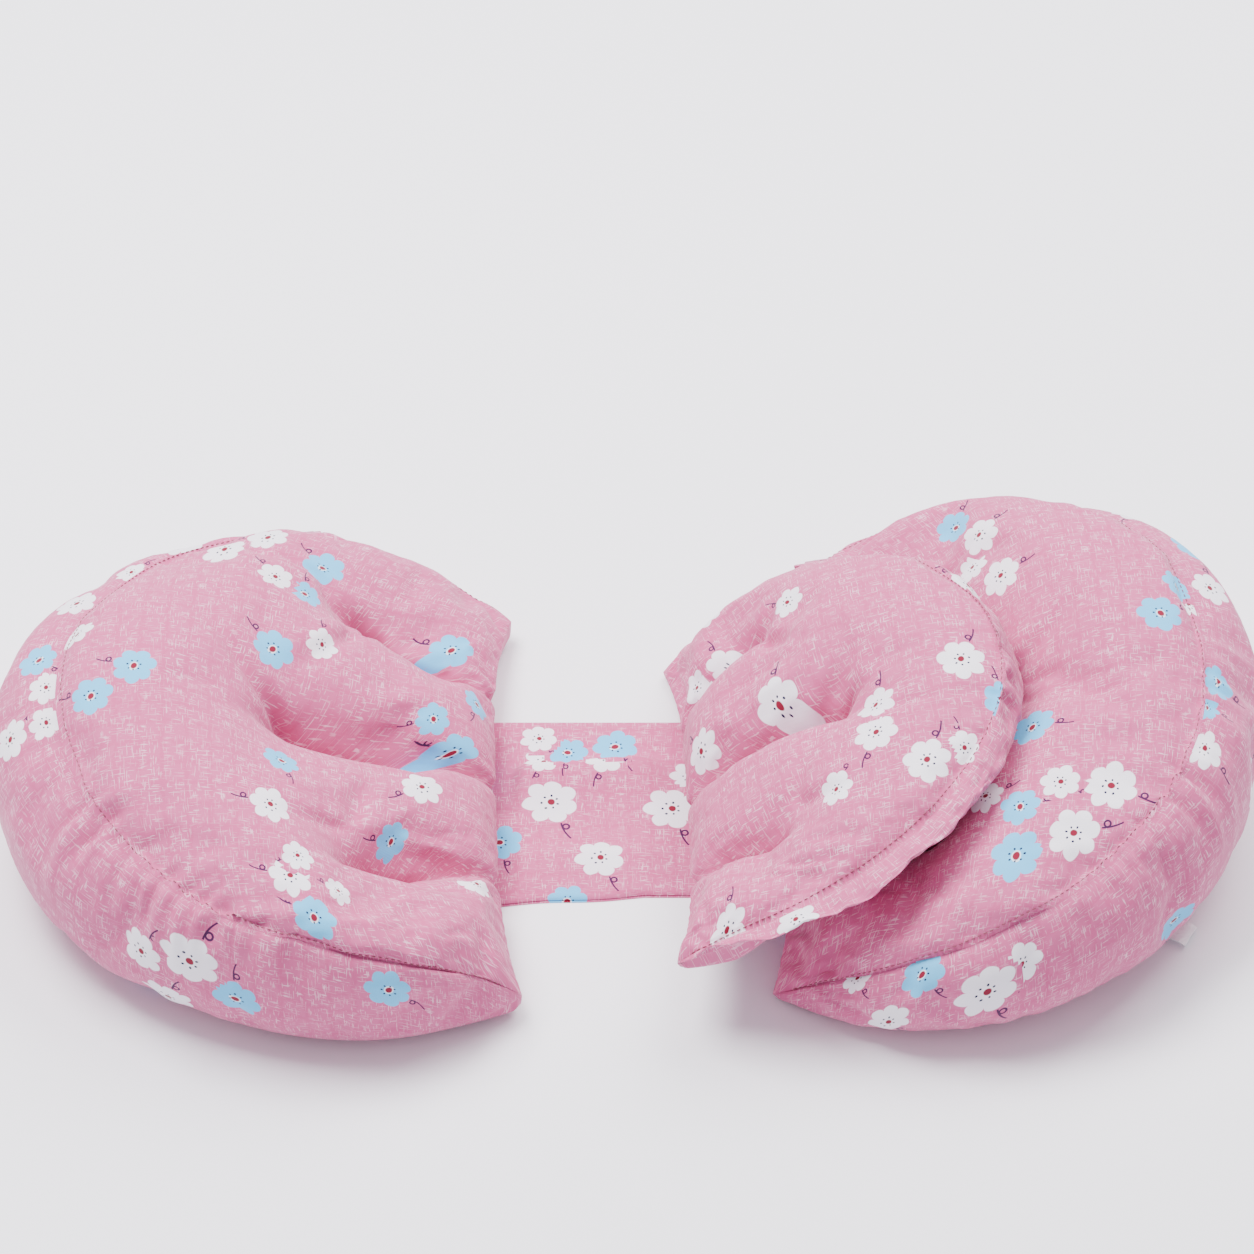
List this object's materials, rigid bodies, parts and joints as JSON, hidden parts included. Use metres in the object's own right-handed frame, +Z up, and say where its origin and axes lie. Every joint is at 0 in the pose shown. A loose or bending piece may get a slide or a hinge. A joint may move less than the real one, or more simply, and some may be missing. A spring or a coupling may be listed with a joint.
{
  "type": "nursing pillow",
  "caption": "Side-sleeper and nursing pillow: D-shaped cushions joined by a flat fabric belt, with a smaller D-shaped cushion hinged on the belt, printed pink cotton.",
  "frame": {"origin": "on the floor under the middle of the belt between the cushions", "axes": "+X along the belt from the left cushion to the right one, +Y along the straight sides towards the back, +Z up"},
  "size_m": [0.7403, 0.4175, 0.1459],
  "materials": {
    "printed_cotton": "woven, matt, dusty pink with a scratchy white plaid and white and sky-blue flowers",
    "polyester_fibre": "loose white fibre",
    "dark_red_thread": "twisted polyester thread",
    "pink_thread": "twisted polyester thread",
    "zip_tape": "woven tape",
    "zip_teeth": "moulded nylon coil",
    "zip_metal": "enamelled zinc",
    "closure_tape": "hook and loop pile",
    "label_satin": "satin ribbon, blank"
  },
  "bodies": {
    "belt": {"belt_lower_layer": "printed_cotton", "belt_upper_layer": "printed_cotton", "belt_front_edge_stitch": "pink_thread", "belt_back_edge_stitch": "pink_thread"},
    "left_belt_end": {"left_belt_end_lower_layer": "printed_cotton", "left_belt_end_upper_layer": "printed_cotton", "hook_tape": "closure_tape"},
    "left_cushion": {"loop_tape": "closure_tape", "left_top_panel": "printed_cotton", "left_gusset": "printed_cotton", "left_bottom_panel": "printed_cotton", "left_fill": "polyester_fibre", "left_seam_stitch": "dark_red_thread", "left_channel_stitch_1": "pink_thread", "left_channel_stitch_2": "pink_thread", "left_channel_stitch_3": "pink_thread", "left_zip_tape": "zip_tape", "left_zip_coil": "zip_teeth"},
    "right_cushion": {"right_belt_end_lower_layer": "printed_cotton", "right_belt_end_upper_layer": "printed_cotton", "small_joining_strip": "printed_cotton", "right_top_panel": "printed_cotton", "right_gusset": "printed_cotton", "right_bottom_panel": "printed_cotton", "right_fill": "polyester_fibre", "right_seam_stitch": "dark_red_thread", "right_channel_stitch_1": "pink_thread", "right_channel_stitch_2": "pink_thread", "right_channel_stitch_3": "pink_thread", "right_zip_tape": "zip_tape", "right_zip_coil": "zip_teeth"},
    "small_cushion": {"small_top_panel": "printed_cotton", "small_gusset": "printed_cotton", "small_bottom_panel": "printed_cotton", "small_fill": "polyester_fibre", "small_seam_stitch": "dark_red_thread", "small_channel_stitch_1": "pink_thread", "small_channel_stitch_2": "pink_thread", "small_channel_stitch_3": "pink_thread", "small_zip_tape": "zip_tape", "small_zip_coil": "zip_teeth"},
    "left_zip_slider": {"left_zip_slider": "zip_metal"},
    "left_zip_pull": {"left_zip_pull": "zip_metal"},
    "right_zip_slider": {"right_zip_slider": "zip_metal"},
    "right_zip_pull": {"right_zip_pull": "zip_metal"},
    "small_zip_slider": {"small_zip_slider": "zip_metal"},
    "small_zip_pull": {"small_zip_pull": "zip_metal"},
    "care_label": {"care_label": "label_satin"}
  },
  "joints": [
    {"name": "left_fold", "type": "hinge", "parent": "belt", "child": "left_belt_end", "pos_m": [-0.08, -0.03, 0.0027], "axis": [0, 1, 0], "range_deg": [0, 60]},
    {"name": "belt_adjust", "type": "slide", "parent": "left_belt_end", "child": "left_cushion", "axis": [-1, 0, 0], "range_m": [0, 0.05]},
    {"name": "right_fold", "type": "hinge", "parent": "belt", "child": "right_cushion", "pos_m": [0.034, -0.03, 0.0027], "axis": [0, -1, 0], "range_deg": [0, 35]},
    {"name": "small_flip", "type": "hinge", "parent": "right_cushion", "child": "small_cushion", "pos_m": [0.029, -0.03, 0.0042], "axis": [0, 1, 0], "range_deg": [-75, 0]},
    {"name": "care_label_flap", "type": "hinge", "parent": "right_cushion", "child": "care_label", "pos_m": [0.30858, -0.11942, 0.0088], "axis": [-0.5029, -0.8644, 0], "range_deg": [0, 20]},
    {"name": "left_zip", "type": "hinge", "parent": "left_cushion", "child": "left_zip_slider", "pos_m": [-0.16355, -0.05037, 0.0497], "axis": [0, 0, 1], "range_deg": [0, 35.3]},
    {"name": "left_zip_pull_lift", "type": "hinge", "parent": "left_zip_slider", "child": "left_zip_pull", "pos_m": [-0.19751, 0.16545, 0.0497], "axis": [0, 0, -1], "range_deg": [0, 100]},
    {"name": "right_zip", "type": "hinge", "parent": "right_cushion", "child": "right_zip_slider", "pos_m": [0.16707, -0.01878, 0.05244], "axis": [0, 0, -1], "range_deg": [0, 33.8]},
    {"name": "right_zip_pull_lift", "type": "hinge", "parent": "right_zip_slider", "child": "right_zip_pull", "pos_m": [0.21744, 0.18739, 0.05244], "axis": [0, 0, 1], "range_deg": [0, 100]},
    {"name": "small_zip", "type": "hinge", "parent": "small_cushion", "child": "small_zip_slider", "pos_m": [0.0732, -0.03649, 0.07303], "axis": [0.3419, -0.1465, -0.9282], "range_deg": [0, 35.6]},
    {"name": "small_zip_pull_lift", "type": "hinge", "parent": "small_zip_slider", "child": "small_zip_pull", "pos_m": [0.11619, 0.12317, 0.06365], "axis": [-0.3419, 0.1465, 0.9282], "range_deg": [0, 100]}
  ]
}
